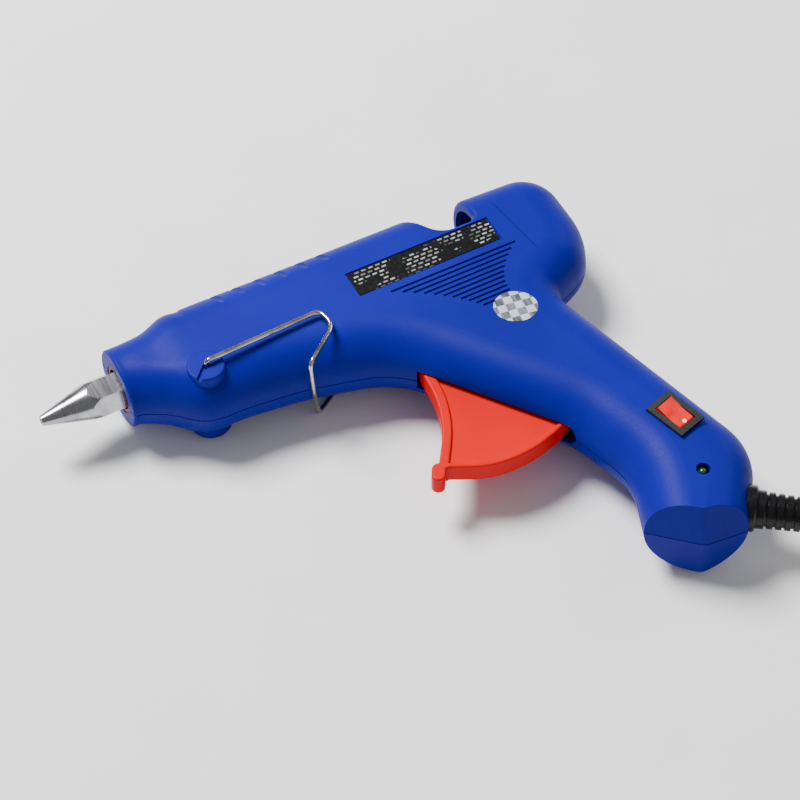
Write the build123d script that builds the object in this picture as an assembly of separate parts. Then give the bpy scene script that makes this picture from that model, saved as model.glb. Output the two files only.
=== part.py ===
from build123d import *
import os
from math import atan2, cos, degrees, pi, radians, sin, tan

# Electric hot-melt glue gun for 11 mm sticks, lying on its right side, in millimetres.
# Design axes: X runs along the barrel with the nozzle towards -X, Y is up in the hand and
# Z is the gun's left. The stick axis is Y = 0, Z = 0, and the shells part on Z = 0.
# SHIFT moves everything to the stored frame: floor at Z = 0, box centred on X and Y.

# --- driving dimensions -------------------------------------------------------------------
HALF = 15.0  # half thickness of the housing
EDGE = 14.8  # rounding of its long edges
WALL = 2.4
STICK_BORE = 6.0  # radius of the passage for an 11 mm stick
TROUGH_R = 6.6  # the open trough ahead of it is a little wider
SEAM = 0.22  # depth of the parting groove on each half

COLLAR_FRONT = -79.3
COLLAR_R = 13.5
NOSE_JOIN = -50.0  # where the tapering nose meets the straight barrel
BARREL_TOP, BARREL_BOTTOM = 17.3, -26.8

NOZZLE_TIP, NOZZLE_TIP_R = -106.7, 1.75
NOZZLE_CONE = -86.8  # end of the cone
HEX_CORNER_R = 7.04
COLLAR_MOUTH_R = 8.2

PIVOT = (14.0, -28.0)  # trigger pivot
TRIGGER_SWEEP = 18.0  # degrees
TRIGGER_REACH = 62.4  # pivot to the end of the slot's straight part
TRIGGER_HALF = 3.75
SLOT_HALF = 4.4
DRIVE_X = PIVOT[0] - PIVOT[1] * tan(radians(TRIGGER_SWEEP / 2))  # drive pin at rest
JAW = (DRIVE_X + 5.6, -10.0)

STAND_PIVOT = (-54.0, -15.6)
STAND_Z = 17.2  # centre of the wire legs
WIRE_R = 0.8
BOSS_R, BOSS_FACE = 6.3, 15.35
FAR_BOSS_R, FAR_BOSS_FACE = 7.1, 15.35

SADDLE_FLOOR = -0.6  # top of the side walls beside the open trough
SADDLE_REAR = 53.3  # front of the rear block
HOOD_RIM = 3.2  # width of the rim round the rear block's open front
BORE_FRONT = 58.5  # the trough's wider radius ends here, inside the hood
REAR_END = 87.2

BACK_TILT = -73.5  # direction of the handle's back, degrees
SWITCH = (68.7, -104.1)
ROCKER_AXIS_Z = 14.7
LAMP = (65.5, -126.3)
LABEL = (29.9, -7.7)
STICKER = (46.2, -41.1)

GLAND = (77.7, -138.0)  # where the strain relief leaves the handle
GLAND_TURN = -37.2  # its direction, degrees
CLAMP_BACK = 15.0  # from there in to the middle of the cord clamp
RELIEF_END = 36.0  # length of the strain relief outside

# Stored frame: design axes moved by SHIFT. The cord is laid out in it, Z up from the floor.
SHIFT = (9.61, 63.71, 18.0)
CORD_R = 3.0
ROUTE = [
    (115.98, -96.07, 18.0),
    (127.1, -104.5, 17.6),
    (139.1, -113.6, 14.2),
    (151.0, -122.6, 7.6),
    (166.1, -129.8, 3.4),
    (181.6, -131.1, 3.05),
]
COIL_SPOT = (183.6, -92.1)
COIL_RINGS = (27.0, 33.0, 39.0)  # radii of the turns, in two layers
COIL_BASE = 0.8  # the tie passes under the coil
PLUG_THICK = 13.7
PIN_R, PIN_SLEEVE_R, PIN_PITCH = 2.0, 1.88, 18.6
TAIL = [(222.6, -92.1, COIL_BASE + 3 * CORD_R), (222.6, -64.0, PLUG_THICK / 2 + 0.1)]

SCREWS = [(-42, -20.6), (-8, -22), (38, -16), (77, -20), (66, -84), (52, -126)]

# Outline of the housing on the parting plane, clockwise: x, y, corner radius.
BODY = [
    (NOSE_JOIN, BARREL_TOP, 0),
    (-44, BARREL_TOP, 300),
    (32, 16.7, 90),
    (REAR_END, 14.5, 15.0),
    (REAR_END, -17.0, 30),
    (80.6, -29.8, 16),
    (65.2, -37.3, 3),
    (89.0, -122.2, 22),
    (67.6, -150.7, 12),
    (67.6, -200, 0),
    (17.5, -200, 0),
    (49.6, -111, 24),
    (41.4, -86, 30),
    (4, -36.5, 34),
    (-25, -29.2, 60),
    (-45, BARREL_BOTTOM, 40),
    (NOSE_JOIN, BARREL_BOTTOM, 0),
]
# Sections of the nose: x, bottom, top, half thickness.
NOSE = [
    (NOSE_JOIN, BARREL_BOTTOM, BARREL_TOP, HALF),
    (-54.0, -26.7, BARREL_TOP, HALF),
    (-58.5, -25.7, 16.9, 14.9),
    (-62.0, -23.6, 15.4, 14.5),
    (-65.5, -20.3, 14.2, 14.0),
    (-69.5, -16.9, 13.7, 13.75),
    (-74.0, -14.3, 13.5, 13.5),
    (COLLAR_FRONT, -COLLAR_R, COLLAR_R, COLLAR_R),
]
KEEL = [(42.4, -129.8), (57.4, -143.4), (72.4, -145.0)]  # seam along the handle's foot
KEEL_LEAN = 4.0  # how far the left half's facets rise out to its side face
SADDLE = [(27, 30, 0), (32, 15.5, 9), (39.8, SADDLE_FLOOR, 9), (SADDLE_REAR, SADDLE_FLOOR, 2.5)]


# --- helpers ------------------------------------------------------------------------------
def rounded_face(corners):
    """Face in XY from (x, y, radius) corners, each rounded by a tangent arc."""
    starts, ends, arcs = [], [], []
    for i, (x, y, r) in enumerate(corners):
        here = Vector(x, y)
        back = (Vector(*corners[i - 1][:2]) - here).normalized()
        ahead = (Vector(*corners[(i + 1) % len(corners)][:2]) - here).normalized()
        half = radians(back.get_angle(ahead)) / 2
        starts.append(here + back * (r / tan(half)))
        ends.append(here + ahead * (r / tan(half)))
        middle = here + (back + ahead).normalized() * (r / sin(half) - r)
        arcs.append(ThreePointArc(starts[i], middle, ends[i]) if r else None)
    edges = []
    for i, arc in enumerate(arcs):
        if arc:
            edges.append(arc)
        edges.append(Line(ends[i], starts[(i + 1) % len(corners)]))
    return Face(Wire(edges))


def inset(corners, depth):
    """Clockwise corners moved inwards by depth, with their radii to match."""
    moved = []
    for i, (x, y, r) in enumerate(corners):
        px, py = corners[i - 1][:2]
        nx, ny = corners[(i + 1) % len(corners)][:2]
        a, b = atan2(y - py, x - px), atan2(ny - y, nx - x)
        turn = (b - a + pi) % (2 * pi) - pi
        step = depth / (1 + cos(turn))
        new_r = 0 if r == 0 else r + (depth if turn > 0 else -depth)
        moved.append((x + step * (sin(a) + sin(b)), y - step * (cos(a) + cos(b)), new_r))
    return moved


def block(x0, x1, y0, y1, z0, z1):
    centre = Pos((x0 + x1) / 2, (y0 + y1) / 2, (z0 + z1) / 2)
    return centre * Box(x1 - x0, y1 - y0, z1 - z0)


def rod_x(r, x0, x1, y=0.0, z=0.0):
    return Pos((x0 + x1) / 2, y, z) * Rot(0, 90, 0) * Cylinder(r, x1 - x0)


def rod_z(r, spot, z0, z1):
    return Pos(spot[0], spot[1], (z0 + z1) / 2) * Cylinder(r, z1 - z0)


def slab(face, z0, z1):
    return extrude(Pos(0, 0, z0) * face, amount=z1 - z0, dir=(0, 0, 1))


def arc_of(r, angle, centre=PIVOT):
    return (centre[0] + r * cos(radians(angle)), centre[1] + r * sin(radians(angle)))


def along(spot, turn, distance, side=0.0):
    """Point at a distance from spot in direction turn, and to its left by side."""
    t = radians(turn)
    return (spot[0] + distance * cos(t) - side * sin(t), spot[1] + distance * sin(t) + side * cos(t))


def route_radii(points):
    """Each arc as large as its two runs allow."""
    radii = []
    for a, b, c in zip(points, points[1:], points[2:]):
        before, after = Vector(*b) - Vector(*a), Vector(*c) - Vector(*b)
        turn = radians(before.get_angle(after))
        radii.append(0.45 * min(before.length, after.length) / tan(turn / 2))
    return radii


def tube(points, r, radii=None):
    path = FilletPolyline(*points, radius=radii or route_radii(points))
    start = path.edges()[0]
    return sweep(Plane(origin=start @ 0, z_dir=start % 0) * Circle(r), path=path)


# --- housing ------------------------------------------------------------------------------
def half_block(depth):
    """Left half of the handle, grip and straight barrel, shrunk by depth on every side."""
    corners = inset(BODY, depth)
    corners[0] = (NOSE_JOIN, corners[0][1], 0)
    corners[-1] = (NOSE_JOIN, corners[-1][1], 0)
    solid = slab(rounded_face(corners), 0, HALF - depth)
    rim = [
        e
        for e in solid.edges()
        if abs(e.center().Z - HALF + depth) < 0.01
        and abs(e.center().X - NOSE_JOIN) > 0.1
        and e.center().Y > -199
    ]
    return fillet(rim, EDGE - depth)


def half_nose(depth):
    sections = []
    for x, bottom, top, thick in NOSE:
        high, wide = top - bottom - 2 * depth, 2 * (thick - depth)
        r = min(high, wide) / 2 - 0.2
        x = max(x, COLLAR_FRONT + depth)
        plane = Plane(origin=(x, (top + bottom) / 2, 0), x_dir=(0, 1, 0), z_dir=(1, 0, 0))
        sections.append(plane * RectangleRounded(high, wide, r))
    whole = loft(sections)
    return whole & block(-90, -40, -40, 40, 0, 30)


def keel_cut(lean, lift):
    """What lies beyond the two facets of the foot; lean tips them as z grows."""
    (ax, ay), (bx, by), (cx, cy) = KEEL
    first, last = (ay - by) / (ax - bx), (by - cy) / (bx - cx)
    corners = [(0, ay - first * ax, 0), (bx, by, 4.0), (100, cy + last * (100 - cx), 0)]
    corners += [(100, -230, 0), (0, -230, 0)]
    face = Pos(0, lift - 0.02 * lean / HALF, -0.02) * rounded_face(corners)
    side = Vector(0, lean, HALF)
    return extrude(face, amount=side.length * 1.2, dir=side.normalized())


def saddle_cut(wall):
    """The open trough's cut, down from the top."""
    (ax, ay, ar), (bx, by, br), (cx, cy, cr), (dx, dy, dr) = SADDLE
    corners = [
        (ax - wall, ay, ar), (bx - wall * 0.9, by, br), (cx - wall * 0.9, cy - wall, cr),
        (dx + wall, dy - wall, dr), (dx + wall, 30, 0),
    ]
    return slab(rounded_face(corners), -1, 20)


def gland_frame(shift=0.0):
    """Plane across the strain relief, its normal pointing out of the handle."""
    x, y = along(GLAND, GLAND_TURN, shift)
    turn = radians(GLAND_TURN)
    return Plane(origin=(x, y, 0), x_dir=(0, 0, 1), z_dir=(cos(turn), sin(turn), 0))


def clamp_spot():
    return along(GLAND, GLAND_TURN, -CLAMP_BACK)


def gland_rod(r, start, end):
    return extrude(gland_frame(start) * Circle(r), amount=end - start)


def rail_set():
    """Rails for the drive pins, and the ribs that hold the melt chamber."""
    solids = [block(2, 30, y, y + 1.6, 10.2, HALF) for y in (1.75, -3.35)]
    for x in (-70.0, -26.5):
        rib = block(x, x + 2, -30, 30, 0, HALF) - rod_x(8.9, x - 1, x + 3)
        solids.append(rib - block(x - 1, x + 3, -17, -7, -1, 8))
    return solids


def void():
    """Hollow of the left half."""
    hollow = half_block(WALL) + half_nose(WALL)
    hollow -= keel_cut(KEEL_LEAN, 2.6)
    hollow -= saddle_cut(WALL)
    hollow -= rod_x(STICK_BORE + 2.4, 29, REAR_END + 1)
    for spot in SCREWS:
        hollow -= rod_z(3.0, spot, -1, HALF)
    hollow -= rod_z(3.2, PIVOT, 10.1, HALF)
    hollow -= rod_z(3.6, STAND_PIVOT, 9.2, HALF)
    hollow -= gland_rod(9.4, -6.6, 4)
    for rib in rail_set():
        hollow -= rib
    return hollow


def cut_rim(solid, cut):
    """Edges that a cut along Z has left on the outside of a half."""
    walls = [f for f in cut.faces() if abs(f.normal_at().Z) < 0.5]
    found = []
    for e in solid.edges():
        spots = [e @ 0, e @ 0.5, e @ 1]
        upright = abs(spots[0].X - spots[2].X) + abs(spots[0].Y - spots[2].Y) < 1e-3 and e.length > 0.5
        on_cut = all(min(f.distance_to(p) for f in walls) < 1e-3 for p in spots)
        if spots[1].Z > 0.01 and on_cut and not upright:
            found.append(e)
    return found


def notches():
    """Six scallops along the barrel's top edge, each a straight round cut across its rounding."""
    lean, tilt, depth = radians(50), radians(10), EDGE - 0.1
    run = Vector(sin(tilt), -sin(lean) * cos(tilt), cos(lean) * cos(tilt))
    cuts = []
    for i in range(6):
        middle = (-38.5 + 7.75 * i, BARREL_TOP - EDGE + depth * cos(lean), HALF - EDGE + depth * sin(lean))
        cuts.append(Plane(origin=middle, z_dir=run) * Cylinder(1.3, 16))
    return cuts


def vent_grooves():
    """Grooves that shorten at both ends as they go down."""
    cuts = []
    for i in range(11):
        left, right = 13.15 + 3.4 * i - 0.1 * i * i, 59.95 - 2.7 * i + 0.155 * i * i
        y = -16.3 - 1.93 * i
        cuts.append(block(left, right, y - 0.45, y + 0.45, HALF - 0.6, HALF + 1))
    return cuts


def parting_groove(lean):
    """Thin layer to take off round the parting plane, so the halves meet in a fine groove."""
    kept = half_block(SEAM) + half_nose(SEAM) - keel_cut(lean, SEAM)
    return block(-120, 120, -240, 60, -1, SEAM) - kept


def stand_boss(r, face, rounding):
    boss = rod_z(r, STAND_PIVOT, 2, face)
    return fillet(boss.edges().sort_by(Axis.Z)[-1], rounding)


def trigger_slot():
    """Room for the trigger to swing, round-ended at the bottom."""
    sector = [PIVOT, arc_of(90, -110), arc_of(90, -73), arc_of(90, -36)]
    wedge = slab(make_face(Polyline(*sector, close=True)), -1, SLOT_HALF + 1)
    end = Plane.XZ * Pos(TRIGGER_REACH, 0) * Circle(SLOT_HALF)
    room = rod_z(TRIGGER_REACH, (0, 0), -SLOT_HALF, SLOT_HALF) + revolve(end, axis=Axis.Z)
    return wedge & (Pos(*PIVOT, 0) * room)


def half_shell():
    """Everything that the two halves share, as the left one."""
    shell = half_block(0) + half_nose(0)
    middles = [(e, e.center()) for e in shell.edges()]
    shell = fillet([e for e, c in middles if abs(c.X - COLLAR_FRONT) < 0.01 and c.Z > 0.1], 0.9)
    trough = saddle_cut(0)
    shell -= trough
    shell = fillet(cut_rim(shell, trough), 1.8)
    shell -= void()
    shell -= rod_x(STICK_BORE, BORE_FRONT - 1, REAR_END + 5) + rod_x(TROUGH_R, 28, BORE_FRONT)
    shell -= half_block(HOOD_RIM) & block(SADDLE_REAR - 5, BORE_FRONT, 0.6, 30, -1, HALF)
    shell -= rod_x(COLLAR_MOUTH_R, COLLAR_FRONT - 1, -70)
    shell -= trigger_slot()
    shell -= rod_z(1.55, PIVOT, 9, 12.6)
    shell -= gland_rod(4.75, -9, 5)
    shell -= gland_rod(7.7, -2.1, 30)
    for cut in notches() + vent_grooves():
        shell -= cut
    line = Pos(63.3, -10, 0) * Rot(0, 0, 8.5) * block(-0.2, 0.2, -13.7, 14.5, HALF - 0.2, HALF + 1)
    return shell - line


def left_shell(shell):
    shell = shell + (stand_boss(BOSS_R, BOSS_FACE, 0.7) - void())
    shell -= rod_z(WIRE_R + 0.06, STAND_PIVOT, 10.0, HALF + 5)
    bx, by = STAND_PIVOT
    shell -= Pos(bx, by, 0) * Rot(0, 0, 225) * block(0, 9, -0.9, 0.9, BOSS_FACE - 1.0, HALF + 5)
    shell -= keel_cut(KEEL_LEAN, 0)
    shell -= parting_groove(KEEL_LEAN)
    window = Pos(SWITCH[0], SWITCH[1], 12) * Rot(0, 0, BACK_TILT) * Box(13.3, 9.0, 12)
    shell -= window
    shell -= rod_z(2.25, LAMP, 9, HALF + 2)
    x, y = LABEL
    shell -= block(x - 26.8, x + 26.8, y - 5.4, y + 5.4, HALF - 0.5, HALF + 1)
    for spot in SCREWS:
        shell -= rod_z(1.3, spot, -1, 9.5)
    for step in (-5.0, 5.0):
        shell += rod_z(0.9, along(LAMP, BACK_TILT, step), 8.0, 13.2)
    return shell


def right_shell(shell):
    shell = shell + (stand_boss(FAR_BOSS_R, FAR_BOSS_FACE, 1.4) - void())
    shell -= rod_z(WIRE_R + 0.06, STAND_PIVOT, 10.0, HALF + 5)
    shell -= keel_cut(0, 0)
    shell -= parting_groove(0)
    for spot in SCREWS:
        shell -= rod_z(1.6, spot, -1, 8.1)
        shell -= rod_z(2.9, spot, 8.0, HALF + 3)
    for side in (-6.5, 6.5):
        spot = along(clamp_spot(), GLAND_TURN, 0, side)
        shell += rod_z(2.4, spot, 0, 13.2) - rod_z(0.9, spot, -1, 8)
    return mirror(shell, about=Plane.XY)


# --- hot end ------------------------------------------------------------------------------
def nozzle():
    """Hexagon bar turned to a cone, so the cone scallops the flats."""
    plane = Plane(origin=(NOZZLE_TIP, 0, 0), x_dir=(0, 1, 0), z_dir=(1, 0, 0))
    bar = extrude(plane * RegularPolygon(HEX_CORNER_R, 6, rotation=12), amount=-76.0 - NOZZLE_TIP)
    outline = [
        (NOZZLE_TIP, 0), (NOZZLE_TIP, NOZZLE_TIP_R), (NOZZLE_CONE, HEX_CORNER_R),
        (-76, HEX_CORNER_R + 0.2), (-76, 0),
    ]
    turned = revolve(make_face(Polyline(*outline, close=True)), axis=Axis.X)
    body = (bar & turned) + rod_x(4.95, -76.0, -66.5)
    return body - rod_x(1.0, NOZZLE_TIP - 1, -100) - rod_x(2.5, -100, -60)


def nozzle_seal():
    ring = rod_x(COLLAR_MOUTH_R - 0.05, COLLAR_FRONT + 0.3, -76.9) + rod_x(9.2, -76.9, -75.6)
    return ring - rod_x(HEX_CORNER_R + 0.04, -90, -70)


def melt_chamber():
    body = rod_x(8.6, -75.5, -23) + rod_x(7.2, -23.5, -16)
    body += block(-64, -28, -16.6, -6, -6.4, 6.4)
    for i in range(5):
        body += block(-60 + 7 * i, -58.4 + 7 * i, 6, 10.6, -4.5, 4.5)
    body -= rod_x(5.0, -80, -66)
    body -= rod_x(5.9, -66.4, -10)
    return body - block(-62, -27, -14.6, -10.6, -5.1, 5.1)


def heater_plate():
    return block(-60, -27.5, -14.5, -10.7, -5, 5)


def heater_clip():
    outer = block(-57, -49, -17.7, -8.4, -7.4, 7.4)
    return outer - block(-58, -48, -16.7, -8, -6.45, 6.45) - rod_x(8.7, -60, -40)


def inlet_sleeve():
    body = rod_x(9.0, -21, -15.5) + rod_x(8.2, -15.5, 1)
    return body - rod_x(7.25, -22, -15.9) - rod_x(5.85, -16, 2)


def sleeve_clamp():
    return rod_x(9.8, -20, -17) - rod_x(9.02, -21, -16)


# --- feed ---------------------------------------------------------------------------------
def feed_carriage():
    """Ring round the stick, with drive pins at the sides and cheeks for the jaw below."""
    body = rod_x(7.6, DRIVE_X - 6.4, DRIVE_X + 8.6)
    body += rod_z(1.5, (DRIVE_X, 0), -12.2, 12.2)
    for z0 in (-5.2, 3.4):
        body += block(DRIVE_X - 5, DRIVE_X + 8, -12.2, -4, z0, z0 + 1.8)
    body -= rod_x(STICK_BORE + 0.3, 0, 40)
    body -= block(DRIVE_X - 7.5, DRIVE_X + 4.6, -9, -4.2, -3.3, 3.3)
    return body - rod_z(1.0, JAW, -6, 6)


def grip_jaw():
    """Toothed lever that bites the stick from below as the trigger closes."""
    x, y = JAW
    outline = [
        (x + 1.9, y - 1.9), (x + 1.9, y + 1.9), (x - 1.5, y + 1.9), (x - 5.6, y + 3.5), (x - 6.2, y + 2.9),
        (x - 7.0, y + 3.6), (x - 7.8, y + 2.8), (x - 9.2, y + 1.0), (x - 9.2, y - 0.6), (x - 1.5, y - 1.9),
    ]
    body = slab(make_face(Polyline(*outline, close=True)), -3.1, 3.1)
    return body - rod_z(1.05, JAW, -5, 5)


def jaw_pin():
    return rod_z(0.98, JAW, -5.2, 5.2)


def trigger():
    """Thin web edged by a finger pad and a lower rim, and two arms that reach the drive pins."""
    web = [
        (10.8, -34, 0), (9.8, -54, 40), (5.4, -66.8, 40), (-2.4, -79.6, 0), (11.0, -85.4, 24),
        (26, -88.2, 30), (45.6, -80.6, 0), (50, -66, 6), (31, -44, 30), (18, -25, 0),
    ]
    pad = [
        (11.0, -34, 0), (9.6, -54.5, 46), (5.4, -66.8, 46), (-3.9, -80.4, 0), (-0.5, -81.2, 0),
        (8.9, -67.0, 50), (13.0, -54.6, 40), (14.4, -34, 0),
    ]
    rim = [
        (-0.6, -80.8, 0), (11.0, -86.6, 26), (27, -88.6, 44), (46.9, -80.9, 0), (46.2, -79.3, 0),
        (27, -86.6, 44), (11.6, -84.7, 26), (0.2, -79.2, 0),
    ]
    flange = slab(rounded_face(pad), -TRIGGER_HALF, TRIGGER_HALF)
    flange += slab(rounded_face(rim), -TRIGGER_HALF, TRIGGER_HALF)
    for spot in ((-3.3, -79.9), (-3.9, -80.9), (-4.5, -81.9)):
        flange += rod_z(2.3, spot, -TRIGGER_HALF, TRIGGER_HALF)
    flange = fillet([e for e in flange.edges() if abs(abs(e.center().Z) - TRIGGER_HALF) < 0.001], 0.7)
    body = slab(rounded_face(web), -2.6, 2.6)
    body += flange
    body += rod_z(3.7, PIVOT, -9.8, 9.8)
    lean = degrees(atan2(-PIVOT[1], DRIVE_X - PIVOT[0]))
    for z0 in (-9.8, 8.0):
        arm = block(0, 32.5, -2.9, 2.9, z0, z0 + 1.8)
        eye = block(24.5, 31, -1.7, 1.7, z0 - 1, z0 + 3)
        body += Pos(*PIVOT, 0) * Rot(0, 0, lean) * (arm - eye)
    return body - rod_z(1.56, PIVOT, -11, 11)


def trigger_pin():
    return rod_z(1.5, PIVOT, -12.5, 12.5)


def return_spring():
    """Torsion spring round the trigger's hub: one leg lies on the trigger, one on the shell."""
    coil = Helix(pitch=0.95, height=1.9, radius=4.6)
    first = Line((coil @ 0) - (coil % 0) * 9, coil @ 0)
    last = Line(coil @ 1, (coil @ 1) + (coil % 1) * 8)
    path = Wire([first, coil, last])
    wire = sweep(Plane(origin=first @ 0, z_dir=first % 0) * Circle(0.35), path=path)
    return Pos(*PIVOT, 5.65) * wire


# --- stand --------------------------------------------------------------------------------
def wire_stand():
    """One bent wire: a hook in each boss, two legs beside the barrel and a bar bent below it."""
    px, py = STAND_PIVOT
    near = [(px, py, 10.4), (px, py, STAND_Z), (-12.3, -14.0, STAND_Z), (-10.6, -21.4, STAND_Z)]
    bar = [(-24.9, -32.6, STAND_Z), (-23.4, -31.6, 0), (-20.0, -27.2, -STAND_Z)]
    far = [(-10.6, -21.4, -STAND_Z), (-12.3, -14.0, -STAND_Z), (px, py, -STAND_Z), (px, py, -10.4)]
    radii = [1.6, 2.6, 6.0, 2.4, 30.0, 2.2, 2.6, 2.6, 1.6]
    return tube(near + bar + far, WIRE_R, radii)


# --- switch, lamp and wiring --------------------------------------------------------------
def switch_place(z=0.0):
    return Pos(SWITCH[0], SWITCH[1], z) * Rot(0, 0, BACK_TILT)


def switch_housing():
    body = Pos(0, 0, 15.7) * Box(15.2, 10.6, 1.3) + Pos(0, 0, 8.2) * Box(13.1, 8.8, 13.8)
    body -= Pos(0, 0, 14.0) * Box(11.2, 6.8, 6.0)
    body += Pos(0, 0, 12.6) * Box(1.2, 6.8, 1.6) - Pos(0, 0, 14.6) * Rot(90, 0, 0) * Cylinder(1.65, 8)
    return switch_place() * body


def switch_rocker():
    """Red rocker, stored with its lower end pressed."""
    upper = [(-5.1, -0.9), (-5.1, 2.0), (-4.7, 2.8), (0, 1.5), (4.7, 1.15), (5.1, 0.8)]
    outline = upper + [(5.1, -1.0), (0, -1.4)]
    body = extrude(Plane.XZ * make_face(Polyline(*outline, close=True)), amount=3.2, both=True)
    return switch_place(ROCKER_AXIS_Z) * body


def switch_terminals():
    blades = [Pos(x, 0, -1.7) * Box(0.8, 4.0, 6.0) for x in (-4.4, 0.0, 4.4)]
    return [switch_place() * blade for blade in blades]


def led_lamp():
    return rod_z(1.5, LAMP, 8.05, 13.0) + Pos(*LAMP, 13.0) * Sphere(1.5) + rod_z(1.9, LAMP, 8.05, 9.0)


def led_board():
    return Pos(*LAMP, 7.4) * Rot(0, 0, BACK_TILT) * Box(12.5, 7, 1.2)


def cord_core():
    return gland_rod(CORD_R, -20.5, -9.0)


def cord_clamp():
    bar = Box(6, 18, 4.9) - Rot(0, 90, 0) * Cylinder(CORD_R + 0.04, 20)
    bar = Pos(0, 0, 0) * bar & Pos(0, 0, 2.5) * Box(7, 19, 5.0)
    bar += Pos(0, 0, 3.2) * Box(6, 18, 2.4) - Rot(0, 90, 0) * Cylinder(CORD_R + 0.04, 20)
    place = Pos(*clamp_spot(), 0) * Rot(0, 0, GLAND_TURN)
    bar = place * bar
    for side in (-6.5, 6.5):
        bar -= rod_z(1.1, along(clamp_spot(), GLAND_TURN, 0, side), -2, 8)
    return bar


def clamp_screws():
    screws = []
    for side in (-6.5, 6.5):
        spot = along(clamp_spot(), GLAND_TURN, 0, side)
        screws.append(rod_z(2.0, spot, 4.42, 5.8) + rod_z(0.88, spot, -7, 4.5))
    return screws


def shell_screws():
    """Driven from the right side; heads sit at the bottom of their wells."""
    screws = []
    for spot in SCREWS:
        head = rod_z(2.6, spot, -10.0, -8.1) - Pos(*spot, -10.0) * Box(3.6, 0.7, 1.4)
        screws.append(head - Pos(*spot, -10.0) * Box(0.7, 3.6, 1.4) + rod_z(1.28, spot, -8.2, 8))
    return screws


def heater_lead(side):
    """Wire from the handle past the feed to one side of the heater."""
    if side > 0:
        start = [(70.6, -98.5, -5.5), (72.6, -90, -7.2), (68.5, -68, -6.4), (58.5, -46, -1)]
    else:
        start = [(61.0, -121, -4.0), (61.0, -103, -8.6), (58.6, -82, -9.6), (56.5, -60, -9.9)]
    front = [(44.5, -28, 9 * side), (27, -20.4, 11.2 * side), (1, -16.4, 10.9 * side)]
    end = [(-19, -14.6, 5.5 * side), (-26.8, -12.6, 2.6 * side)]
    return tube(start + front + end, 0.8)


def supply_lead():
    return tube([(60.4, -123.6, -1.2), (65.2, -116.5, -5.6), (67.3, -108.6, -5.4)], 0.8)


def rating_label():
    x, y = LABEL
    return block(x - 26.4, x + 26.4, y - 5.0, y + 5.0, HALF - 0.5, HALF - 0.15)


def inspection_sticker():
    oval = Pos(STICKER[0], STICKER[1]) * Rot(0, 0, -27.5) * Ellipse(7.35, 6.4)
    return slab(oval, HALF, HALF + 0.15)


# --- cord ---------------------------------------------------------------------------------
def strain_relief():
    """Moulded on the cord: two flanges that trap the wall, a step, then tapering ribs."""
    profile = [(-9.0, 0), (-9.0, 6.2), (-6.7, 6.2), (-6.7, 4.7), (-2.1, 4.7), (-2.1, 7.5)]
    profile += [(0.8, 7.5), (1.4, 6.9), (1.4, 6.2), (3.9, 6.2), (4.2, 5.9)]
    ribs, start = 11, 4.2
    pitch = (RELIEF_END - start) / ribs
    for i in range(ribs):
        x, r = start + pitch * i, 5.9 - 0.1 * i
        profile += [(x, r - 0.7), (x + 0.7, r - 0.7), (x + 0.9, r), (x + pitch - 0.1, r)]
    profile += [(RELIEF_END, 3.6), (RELIEF_END, 0)]
    body = revolve(make_face(Polyline(*profile, close=True)), axis=Axis.X)
    x, y = GLAND
    return Pos(x, y, 0) * Rot(0, 0, GLAND_TURN) * body


def power_cord():
    """The lead down to the coil, and the straight tail from the coil to the plug."""
    radii = route_radii(ROUTE)
    print("cord radii", [round(r, 1) for r in radii])
    lead = tube(ROUTE, CORD_R, radii)
    length = sum(e.length for e in FilletPolyline(*ROUTE, radius=radii).edges())
    print("cord tube volume / section", round(lead.volume / (pi * CORD_R**2), 1), "length", round(length, 1))
    start, end = Vector(*TAIL[0]), Vector(*TAIL[1])
    tail = extrude(Plane(origin=start, z_dir=end - start) * Circle(CORD_R), amount=(end - start).length)
    return [lead, tail]


def cord_coil():
    inner, outer = COIL_RINGS[0] - CORD_R, COIL_RINGS[-1] + CORD_R
    section = RectangleRounded(outer - inner, 4 * CORD_R, CORD_R - 0.1)
    middle = Plane.XZ * Pos((inner + outer) / 2, COIL_BASE + 2 * CORD_R) * section
    return Pos(*COIL_SPOT, 0) * revolve(middle, axis=Axis.Z)


def coil_tie():
    """Strap round the bundle of turns."""
    inner, outer = COIL_RINGS[0] - CORD_R - 0.15, COIL_RINGS[-1] + CORD_R + 0.05
    top = COIL_BASE + 4 * CORD_R + 0.05
    strap = block(inner - 0.8, outer + 0.8, -2.4, 2.4, 0, top + 0.8)
    strap -= block(inner, outer, -3, 3, COIL_BASE, top)
    return Pos(*COIL_SPOT, 0) * Rot(0, 0, 130) * strap


def plug_place():
    return Pos(*TAIL[1]) * Rot(0, 0, 90)


def plug_body():
    """Flat two-pin mains plug, its cord entry at the local origin."""
    sections = []
    rows = [(11, 13, 10), (16, 24, 13), (24, 32, PLUG_THICK), (36, 34, PLUG_THICK), (40, 33.4, 13.2)]
    for x, width, thick in rows:
        plane = Plane(origin=(x, 0, 0), x_dir=(0, 1, 0), z_dir=(1, 0, 0))
        sections.append(plane * RectangleRounded(width, thick, 4.4))
    neck = Pos(6, 0, 0) * Rot(0, 90, 0) * Cone(3.9, 4.9, 12)
    body = loft(sections) + neck
    for side in (-1, 1):
        y = side * PIN_PITCH / 2
        body += rod_x(PIN_SLEEVE_R, 39, 50, y) - rod_x(PIN_SLEEVE_R + 1, 30, 39.5, y)
        body -= rod_x(1.5, 34, 51, y)
    return plug_place() * body


def plug_pins():
    """Pins with a thin root inside the plug's insulating sleeves."""
    pins = []
    for side in (-1, 1):
        y = side * PIN_PITCH / 2
        pin = rod_x(1.48, 34.2, 50, y) + rod_x(PIN_R, 50, 57, y) + Pos(57, y, 0) * Sphere(PIN_R)
        pins.append(plug_place() * pin)
    return pins


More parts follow.
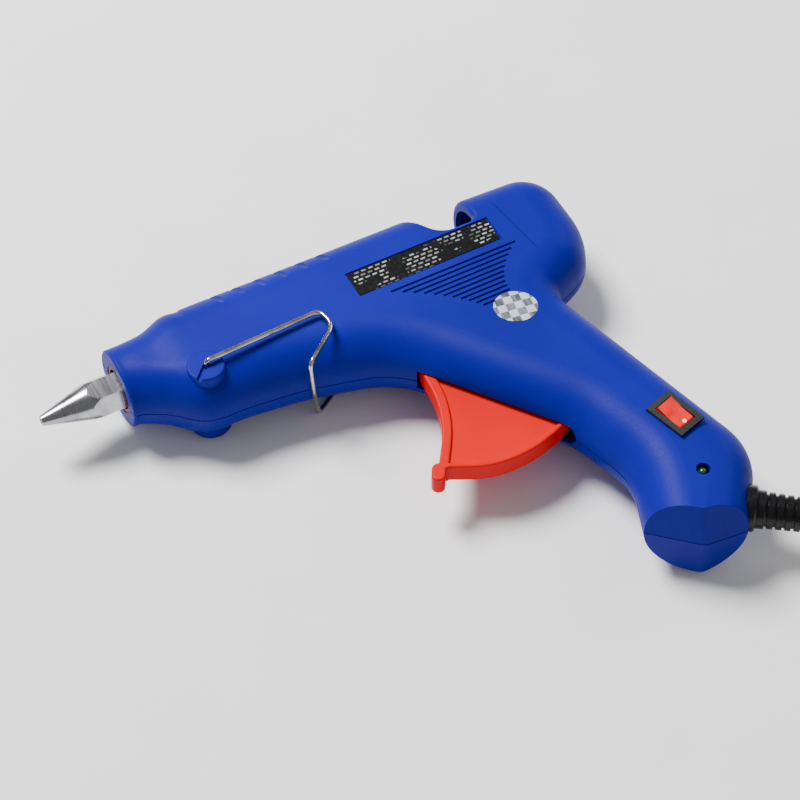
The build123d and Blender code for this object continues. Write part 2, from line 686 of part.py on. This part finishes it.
# --- assembly -----------------------------------------------------------------------------
HOUSED = {
    "nozzle": nozzle,
    "nozzle_seal": nozzle_seal,
    "melt_chamber": melt_chamber,
    "heater_plate": heater_plate,
    "heater_clip": heater_clip,
    "inlet_sleeve": inlet_sleeve,
    "sleeve_clamp": sleeve_clamp,
    "feed_carriage": feed_carriage,
    "grip_jaw": grip_jaw,
    "jaw_pin": jaw_pin,
    "trigger": trigger,
    "trigger_pin": trigger_pin,
    "return_spring": return_spring,
    "wire_stand": wire_stand,
    "switch_housing": switch_housing,
    "switch_rocker": switch_rocker,
    "switch_terminals": switch_terminals,
    "led_lamp": led_lamp,
    "led_board": led_board,
    "cord_core": cord_core,
    "cord_clamp": cord_clamp,
    "clamp_screws": clamp_screws,
    "shell_screws": shell_screws,
    "live_lead": lambda: heater_lead(1),
    "neutral_lead": lambda: heater_lead(-1),
    "supply_lead": supply_lead,
    "rating_label": rating_label,
    "inspection_sticker": inspection_sticker,
    "strain_relief": strain_relief,
}
ON_FLOOR = {
    "power_cord": power_cord,
    "cord_coil": cord_coil,
    "coil_tie": coil_tie,
    "plug_body": plug_body,
    "plug_pins": plug_pins,
}


def solids_of(part):
    pieces = part if isinstance(part, list) else [part]
    return [solid for piece in pieces for solid in piece.solids()]


def build_parts():
    """Every part in the stored frame."""
    shared = half_shell()
    housed = {"left_shell": left_shell(shared), "right_shell": right_shell(shared)}
    housed.update({name: make() for name, make in HOUSED.items()})
    parts = {name: Compound(children=[Pos(*SHIFT) * s for s in solids_of(p)]) for name, p in housed.items()}
    for name, make in ON_FLOOR.items():
        parts[name] = Compound(children=solids_of(make()))
    return parts


def main():
    os.makedirs("parts", exist_ok=True)
    parts = build_parts()
    for name, part in parts.items():
        export_step(part, f"parts/{name}.step")
    gun = [part for name, part in parts.items() if name not in ON_FLOOR and name != "strain_relief"]
    box = Compound(children=gun).bounding_box()
    print("gun box", box.min, box.max, "centre", box.center())


if __name__ == "__main__":
    main()
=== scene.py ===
from math import cos, radians, sin

import bpy
from mathutils import Matrix, Vector


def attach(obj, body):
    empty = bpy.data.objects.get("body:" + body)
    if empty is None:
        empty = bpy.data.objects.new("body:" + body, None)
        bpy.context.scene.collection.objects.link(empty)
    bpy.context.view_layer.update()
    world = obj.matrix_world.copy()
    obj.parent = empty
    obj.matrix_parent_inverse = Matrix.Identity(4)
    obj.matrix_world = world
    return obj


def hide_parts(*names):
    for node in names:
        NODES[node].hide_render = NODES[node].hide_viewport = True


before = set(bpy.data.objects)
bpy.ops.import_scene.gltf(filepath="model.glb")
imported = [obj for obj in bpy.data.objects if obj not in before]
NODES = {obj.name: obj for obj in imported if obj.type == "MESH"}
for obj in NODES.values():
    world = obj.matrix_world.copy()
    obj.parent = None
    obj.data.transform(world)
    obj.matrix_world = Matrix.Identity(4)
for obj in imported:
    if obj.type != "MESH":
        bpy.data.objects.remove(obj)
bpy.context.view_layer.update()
MM = 0.001

# The photographed view: the camera looks down at the gun, which lies on its right side.
AIM = Vector((9.61, 16.51, 18.0)) * MM
VIEW_AZIMUTH, VIEW_ELEVATION, VIEW_ROLL = radians(-27.5), radians(52), radians(0.5)
VIEW_DISTANCE = 0.9
LENS, SENSOR = 124.3, 36.0

# Soft studio light: name, place and disc diameter in metres, and watts.
LAMPS = (
    ("key_light", (-0.35, 0.8, 1.35), 0.7, 58),
    ("fill_light", (0.3, -1.3, 1.1), 1.2, 2),
    ("side_light", (1.3, 0.3, 0.8), 0.8, 6),
)
WORLD_STRENGTH = 0.3
FLOOR_HALF = 3.0

# The cord, in millimetres: the free lead, the coil's turns, the tail and the plug's entry.
CORD_R = 3.0
ROUTE = [
    (115.98, -96.07, 18.0),
    (127.1, -104.5, 17.6),
    (139.1, -113.6, 14.2),
    (151.0, -122.6, 7.6),
    (166.1, -129.8, 3.4),
]
COIL_SPOT = (183.6, -92.1)
COIL_LOW, COIL_HIGH = 3.8, 9.8
OUTER, MIDDLE, INNER = 39.0, 33.0, 27.0  # radii of the coil's rings
COIL_STEP = 15  # degrees between the coil's points
TAIL = [
    (222.6, -92.1, COIL_HIGH),
    (222.6, -84.0, 9.3),
    (222.6, -74.0, 7.9),
    (222.6, -64.0, 6.95),
]

# The rocker's white dot and its soft edge, in metres.
DOT_SPOT = (0.0794, -0.0443, 0.0337)
DOT_R, DOT_EDGE = 0.0007, 0.00008

# Reflection of the duller plastics and rubbers.
DULL = {"Specular_IOR_Level": 0.09}
DIM = {"Specular_IOR_Level": 0.25}


# --- camera, light and floor --------------------------------------------------------------
def add_camera():
    a, e, r = VIEW_AZIMUTH, VIEW_ELEVATION, VIEW_ROLL
    right = Vector((cos(a), sin(a), 0))
    back = Vector((sin(a) * cos(e), -cos(a) * cos(e), sin(e)))
    up = back.cross(right)
    tilted_right = cos(r) * right - sin(r) * up
    tilted_up = sin(r) * right + cos(r) * up
    turn = Matrix((tilted_right, tilted_up, back)).transposed().to_4x4()
    data = bpy.data.cameras.new("camera")
    data.lens, data.sensor_width = LENS, SENSOR
    data.clip_start, data.clip_end = 0.01, 50
    camera = bpy.data.objects.new("camera", data)
    camera.matrix_world = Matrix.Translation(AIM + VIEW_DISTANCE * back) @ turn
    bpy.context.scene.collection.objects.link(camera)
    bpy.context.scene.camera = camera


def add_lamp(name, spot, size, power):
    data = bpy.data.lights.new(name, "AREA")
    data.shape, data.size, data.energy = "DISK", size, power
    lamp = bpy.data.objects.new(name, data)
    lamp.location = Vector(spot)
    lamp.rotation_euler = (AIM - lamp.location).to_track_quat("-Z", "Y").to_euler()
    bpy.context.scene.collection.objects.link(lamp)


def add_floor():
    half = FLOOR_HALF
    corners = [(-half, -half, 0), (half, -half, 0), (half, half, 0), (-half, half, 0)]
    mesh = bpy.data.meshes.new("floor")
    mesh.from_pydata(corners, [], [(0, 1, 2, 3)])
    floor = bpy.data.objects.new("floor", mesh)
    bpy.context.scene.collection.objects.link(floor)
    paint = grained("floor_paint", (0.86, 0.86, 0.86), (0.9, 0.9, 0.9), (0.85, 0.95), 60, 0.0001)
    floor.data.materials.append(paint)


def add_surroundings():
    for name, spot, size, power in LAMPS:
        add_lamp(name, spot, size, power)
    world = bpy.data.worlds.new("studio")
    world.use_nodes = True
    background = world.node_tree.nodes["Background"]
    background.inputs["Color"].default_value = (1, 1, 1, 1)
    background.inputs["Strength"].default_value = WORLD_STRENGTH
    bpy.context.scene.world = world
    add_floor()


# --- materials ----------------------------------------------------------------------------
def material(name, colour, roughness, metallic=0.0, **more):
    """Principled material; more holds other sockets by their names, with _ for a space."""
    made = bpy.data.materials.new(name)
    made.use_nodes = True
    shader = made.node_tree.nodes["Principled BSDF"]
    shader.inputs["Base Color"].default_value = (*colour, 1)
    shader.inputs["Roughness"].default_value = roughness
    shader.inputs["Metallic"].default_value = metallic
    for key, value in more.items():
        shader.inputs[key.replace("_", " ")].default_value = value
    return made


def add_node(made, kind, inputs=None, **settings):
    node = made.node_tree.nodes.new(kind)
    for key, value in settings.items():
        setattr(node, key, value)
    for key, value in (inputs or {}).items():
        if isinstance(value, bpy.types.NodeSocket):
            made.node_tree.links.new(value, node.inputs[key])
        else:
            node.inputs[key].default_value = value
    return node


def place(made, scale=(1, 1, 1), shift=(0, 0, 0), turn=0.0):
    """Coordinates of the stored frame, scaled, turned about Z and shifted."""
    where = add_node(made, "ShaderNodeTexCoord").outputs["Object"]
    inputs = {"Vector": where, "Location": shift, "Rotation": (0, 0, turn), "Scale": scale}
    return add_node(made, "ShaderNodeMapping", inputs).outputs["Vector"]


def noise(made, vector, scale, detail=3.0, rough=0.5):
    inputs = {"Vector": vector, "Scale": scale, "Detail": detail, "Roughness": rough}
    return add_node(made, "ShaderNodeTexNoise", inputs).outputs["Fac"]


def spread(made, value, low, high, start=0.3, end=0.7):
    """Value from start to end becomes low to high, and is held there outside that range."""
    inputs = {"Value": value, "From Min": start, "From Max": end, "To Min": low, "To Max": high}
    return add_node(made, "ShaderNodeMapRange", inputs).outputs["Result"]


def mix(made, factor, first, second):
    """Colour between first and second, each a colour or a node's output."""
    node = add_node(made, "ShaderNodeMix", data_type="RGBA")
    made.node_tree.links.new(factor, node.inputs[0])
    colours = [n for n in node.inputs if n.type == "RGBA"]
    for socket, value in zip(colours, (first, second)):
        if isinstance(value, bpy.types.NodeSocket):
            made.node_tree.links.new(value, socket)
        else:
            socket.default_value = (*value, 1)
    return [n for n in node.outputs if n.type == "RGBA"][0]


def feed(made, socket, value):
    made.node_tree.links.new(value, made.node_tree.nodes["Principled BSDF"].inputs[socket])


def bump(made, height, depth):
    """Depth is in metres."""
    inputs = {"Height": height, "Distance": depth, "Strength": 1.0}
    feed(made, "Normal", add_node(made, "ShaderNodeBump", inputs).outputs["Normal"])


def grained(name, dark, light, rough, grain, depth, metallic=0.0, **more):
    """Moulded or cast surface: broad colour drift, fine grain in height and in roughness."""
    made = material(name, light, rough[0], metallic, **more)
    where = place(made)
    drift = spread(made, noise(made, where, 25.0), 0, 1)
    feed(made, "Base Color", mix(made, drift, dark, light))
    fine = noise(made, where, grain, 2.0)
    feed(made, "Roughness", spread(made, fine, *rough))
    bump(made, fine, depth)
    return made


def turned(name, dark, light, rough, pitch, depth, along=(1, 0, 0)):
    """Machined metal: fine rings across the given direction, and a little staining."""
    made = material(name, light, rough[0], 1.0)
    slow = 40.0  # round a ring the noise hardly changes
    stretch = tuple(1 / pitch if v else slow for v in along)
    rings = noise(made, place(made, stretch), 1.0, 3.0, 0.7)
    stain = noise(made, place(made), 160.0, 4.0)
    feed(made, "Base Color", mix(made, spread(made, stain, 0, 1), dark, light))
    feed(made, "Roughness", spread(made, rings, *rough))
    bump(made, rings, depth)
    return made


def label_film():
    """Black film with rows of short pale bars, which stand for small print."""
    made = material("label_film", (0.01, 0.01, 0.01), 0.35, Specular_IOR_Level=0.15)
    pale, black = (0.4, 0.41, 0.41), (0.004, 0.004, 0.0045)
    bricks = {
        "Vector": place(made, (1000, 1000, 1000), (-12.6, -51.6, 0)),  # the bars' sizes are in mm
        "Color1": (*pale, 1),
        "Color2": (*black, 1),
        "Mortar": (*black, 1),
        "Scale": 1.0,
        "Mortar Size": 0.5,
        "Mortar Smooth": 0.1,
        "Bias": -0.1,
        "Brick Width": 2.6,
        "Row Height": 1.56,
    }
    bars = add_node(made, "ShaderNodeTexBrick", bricks, offset=0.37).outputs["Color"]
    gaps = spread(made, noise(made, place(made), 170.0, 1.0), 0, 1, 0.49, 0.52)
    groups = mix(made, gaps, bars, black)
    wear = noise(made, place(made), 900.0)
    feed(made, "Base Color", mix(made, spread(made, wear, 0.0, 0.25), groups, black))
    feed(made, "Roughness", spread(made, wear, 0.28, 0.42))
    bump(made, wear, 0.00001)
    return made


def checker_film():
    """Metallised sticker with a plain chequer, and no lettering."""
    made = material("checker_film", (0.6, 0.66, 0.74), 0.3, 0.25)
    turn = radians(8)
    chequer = {
        "Vector": place(made, shift=(0.0009, 0.0004, 0), turn=turn),
        "Scale": 340.0,
        "Color1": (0.55, 0.62, 0.7, 1),
        "Color2": (0.045, 0.055, 0.08, 1),
    }
    squares = add_node(made, "ShaderNodeTexChecker", chequer).outputs["Color"]
    streak = noise(made, place(made, (900, 120, 1), turn=turn), 1.0)
    silver = (0.6, 0.65, 0.72)
    feed(made, "Base Color", mix(made, spread(made, streak, 0.0, 0.3), squares, silver))
    feed(made, "Roughness", spread(made, streak, 0.22, 0.4))
    bump(made, streak, 0.00001)
    return made


def rocker_plastic():
    """Clear red moulding with one white dot on its pressed end."""
    sheen = {"Coat_Weight": 0.6, "Coat_Roughness": 0.08}
    depth = {"Subsurface_Weight": 0.15, "Subsurface_Scale": 0.002}
    made = material("rocker_red", (0.8, 0.01, 0.008), 0.16, **sheen, **depth)
    where = add_node(made, "ShaderNodeTexCoord").outputs["Object"]
    measure = add_node(made, "ShaderNodeVectorMath", {0: where, 1: DOT_SPOT}, operation="DISTANCE")
    gap = measure.outputs["Value"]
    dot = spread(made, gap, 1.0, 0.0, DOT_R - DOT_EDGE, DOT_R + DOT_EDGE)
    cloud = spread(made, noise(made, place(made), 260.0), 0, 1)
    red = mix(made, cloud, (0.62, 0.006, 0.006), (0.9, 0.018, 0.012))
    feed(made, "Base Color", mix(made, dot, red, (0.85, 0.85, 0.84)))
    feed(made, "Roughness", spread(made, noise(made, place(made), 2200.0), 0.12, 0.24))
    return made


def dress(made, *nodes):
    """Each CAD node keeps its mesh and takes this material in every slot."""
    for node in nodes:
        piece = NODES[node]
        if not piece.material_slots:
            piece.data.materials.append(made)
        for slot in piece.material_slots:
            slot.material = made


def dress_plastics():
    dress(
        grained("blue_plastic", (0.0028, 0.0035, 0.2), (0.0045, 0.005, 0.25), (0.4, 0.58),
                2600, 0.00004, **DULL),
        "left_shell", "right_shell",
    )
    dress(
        grained("trigger_red", (0.56, 0.0006, 0.0004), (0.66, 0.001, 0.0006), (0.3, 0.42),
                1900, 0.00001, **DULL),
        "trigger",
    )
    dress(rocker_plastic(), "switch_rocker")
    dress(
        grained("black_moulding", (0.008, 0.008, 0.009), (0.016, 0.016, 0.018), (0.3, 0.45),
                1800, 0.00002),
        "switch_housing", "cord_clamp", "plug_body",
    )
    dress(
        grained("natural_nylon", (0.62, 0.6, 0.5), (0.76, 0.74, 0.66), (0.35, 0.5), 1300, 0.00002),
        "feed_carriage", "grip_jaw",
    )
    dress(
        grained("board_laminate", (0.01, 0.12, 0.03), (0.02, 0.2, 0.06), (0.3, 0.45), 1700, 0.00002),
        "led_board",
    )
    dress(
        grained("lamp_epoxy", (0.003, 0.03, 0.01), (0.008, 0.07, 0.022), (0.2, 0.3),
                700, 0.00001, Coat_Weight=0.3),
        "led_lamp",
    )
    dress(
        grained("brown_wire", (0.11, 0.035, 0.012), (0.17, 0.06, 0.02), (0.3, 0.42), 1000, 0.00002),
        "live_lead", "supply_lead",
    )
    dress(
        grained("blue_wire", (0.008, 0.06, 0.32), (0.015, 0.1, 0.45), (0.3, 0.42), 1000, 0.00002),
        "neutral_lead",
    )


def dress_rubbers():
    dress(
        grained("black_rubber", (0.002, 0.002, 0.0025), (0.005, 0.005, 0.006), (0.22, 0.36),
                900, 0.00003, **DIM),
        "strain_relief", "cord_core",
    )
    dress(
        grained("black_strap", (0.01, 0.01, 0.01), (0.03, 0.03, 0.03), (0.6, 0.8), 3000, 0.00008),
        "coil_tie",
    )
    dress(
        grained("seal_silicone", (0.2, 0.045, 0.012), (0.34, 0.085, 0.02), (0.5, 0.7), 1500, 0.00003),
        "nozzle_seal",
    )
    dress(
        grained("sleeve_silicone", (0.6, 0.58, 0.54), (0.74, 0.73, 0.69), (0.45, 0.6), 1100, 0.00003),
        "inlet_sleeve",
    )
    dress(
        grained("heater_wrap", (0.5, 0.44, 0.33), (0.68, 0.63, 0.52), (0.5, 0.7), 2100, 0.00005),
        "heater_plate",
    )


def dress_metals():
    dress(
        turned("nozzle_metal", (0.24, 0.24, 0.26), (0.52, 0.52, 0.54), (0.12, 0.3), 0.00022, 0.00002),
        "nozzle",
    )
    dress(
        grained("cast_metal", (0.5, 0.5, 0.51), (0.7, 0.7, 0.71), (0.4, 0.6), 1400, 0.00008, 1.0),
        "melt_chamber",
    )
    dress(
        turned("nickel_wire", (0.3, 0.29, 0.27), (0.6, 0.58, 0.54), (0.1, 0.22), 0.0006, 0.00001),
        "wire_stand",
    )
    dress(
        turned("plated_steel", (0.38, 0.38, 0.39), (0.6, 0.6, 0.61), (0.25, 0.4),
               0.0003, 0.00001, (0, 0, 1)),
        "trigger_pin", "jaw_pin", "return_spring", "heater_clip", "sleeve_clamp",
        "shell_screws", "clamp_screws",
    )
    dress(
        turned("brass_blade", (0.5, 0.33, 0.1), (0.8, 0.6, 0.26), (0.2, 0.35),
               0.0004, 0.00001, (0, 0, 1)),
        "switch_terminals",
    )
    dress(
        turned("pin_nickel", (0.5, 0.5, 0.48), (0.76, 0.75, 0.72), (0.14, 0.26),
               0.0004, 0.00001, (0, 1, 0)),
        "plug_pins",
    )


def dress_nodes():
    """A material of its own kind on every node that keeps its mesh."""
    dress_plastics()
    dress_rubbers()
    dress_metals()
    dress(label_film(), "rating_label")
    dress(checker_film(), "inspection_sticker")


# --- cord ---------------------------------------------------------------------------------
def coil_points():
    """Turns of the coil: three rings on the floor side going in, three above them going out."""
    grow = 1 / (0.75 + 0.25 * cos(radians(COIL_STEP)))  # the spline runs inside its points
    # cumulative angle, ring radius, height; between two rows the values ease from one to the next
    plan = [
        (-90, OUTER, COIL_LOW),
        (210, OUTER, COIL_LOW),
        (270, MIDDLE, COIL_LOW),
        (570, MIDDLE, COIL_LOW),
        (630, INNER, COIL_LOW),
        (870, INNER, COIL_LOW),
        (930, INNER, COIL_HIGH),
        (1170, INNER, COIL_HIGH),
        (1230, MIDDLE, COIL_HIGH),
        (1530, MIDDLE, COIL_HIGH),
        (1590, OUTER, COIL_HIGH),
        (1800, OUTER, COIL_HIGH),
    ]
    points = []
    for (a0, r0, z0), (a1, r1, z1) in zip(plan, plan[1:]):
        for angle in range(a0, a1, COIL_STEP):
            t = (angle - a0) / (a1 - a0)
            ease = t * t * (3 - 2 * t)
            r = grow * (r0 + (r1 - r0) * ease)
            x = COIL_SPOT[0] + r * cos(radians(angle))
            y = COIL_SPOT[1] + r * sin(radians(angle))
            points.append((x, y, z0 + (z1 - z0) * ease))
    return points


def add_cord():
    points = ROUTE + coil_points() + TAIL
    curve = bpy.data.curves.new("lead", "CURVE")
    curve.dimensions = "3D"
    spline = curve.splines.new("NURBS")
    spline.points.add(len(points) - 1)
    for point, spot in zip(spline.points, points):
        point.co = (*(Vector(spot) * MM), 1)
    spline.order_u = 3
    spline.use_endpoint_u = True
    spline.resolution_u = 8
    curve.bevel_depth = CORD_R * MM
    curve.bevel_resolution = 5
    curve.use_fill_caps = True
    lead = bpy.data.objects.new("mains_lead", curve)
    bpy.context.scene.collection.objects.link(lead)
    lead.data.materials.append(
        grained("jacket", (0.003, 0.003, 0.0035), (0.007, 0.007, 0.008), (0.3, 0.45), 700, 0.00003)
    )
    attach(lead, "housing")
    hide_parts("power_cord", "cord_coil")


# --- build --------------------------------------------------------------------------------
add_camera()
add_surroundings()
add_cord()
dress_nodes()
